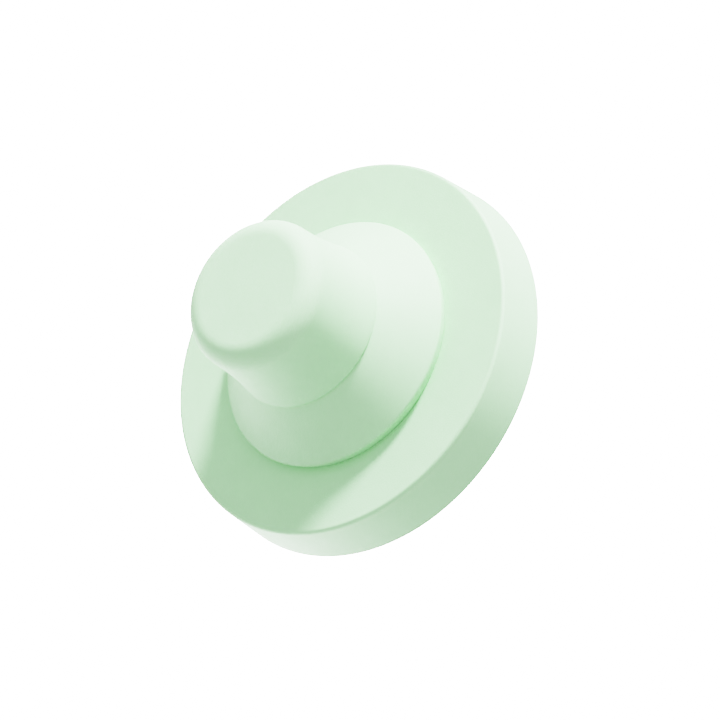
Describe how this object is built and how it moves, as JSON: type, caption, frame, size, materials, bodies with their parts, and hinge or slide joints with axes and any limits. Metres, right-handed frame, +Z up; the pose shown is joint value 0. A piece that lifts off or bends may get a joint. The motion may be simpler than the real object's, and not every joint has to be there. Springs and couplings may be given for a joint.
{
  "type": "pacifier",
  "caption": "Round baby pacifier: blunt hollow teat, conical collar, plain thick shield, and behind it a knob with a hinged ring handle.",
  "frame": {"origin": "centre of the shield's lip face, on the teat's axis", "axes": "-Y runs along the teat's axis from the shield to the teat's tip, into the mouth; +Z is up, with the ring hanging towards -Z; the ring's hinge axis is parallel to X"},
  "size_m": [0.045, 0.0309, 0.045],
  "materials": {
    "shield": "fine matte polypropylene, pale mint green",
    "collar": "fine matte polypropylene, pale mint green",
    "teat": "soft matte silicone rubber, pale mint green",
    "core": "matte polypropylene, pale mint green",
    "knob": "fine matte polypropylene, pale mint green",
    "ring": "fine matte polypropylene, pale mint green"
  },
  "bodies": {
    "soother": {"shield": "shield", "rear_cover": "shield", "collar": "collar", "teat": "teat", "core_plug": "core", "knob": "knob", "button_cap": "knob"},
    "ring": {"ring_handle": "ring"}
  },
  "joints": [
    {"name": "ring_hinge", "type": "hinge", "parent": "soother", "child": "ring", "pos_m": [0, 0.00945, 0], "axis": [1, 0, 0], "range_deg": [-3, 183]}
  ]
}
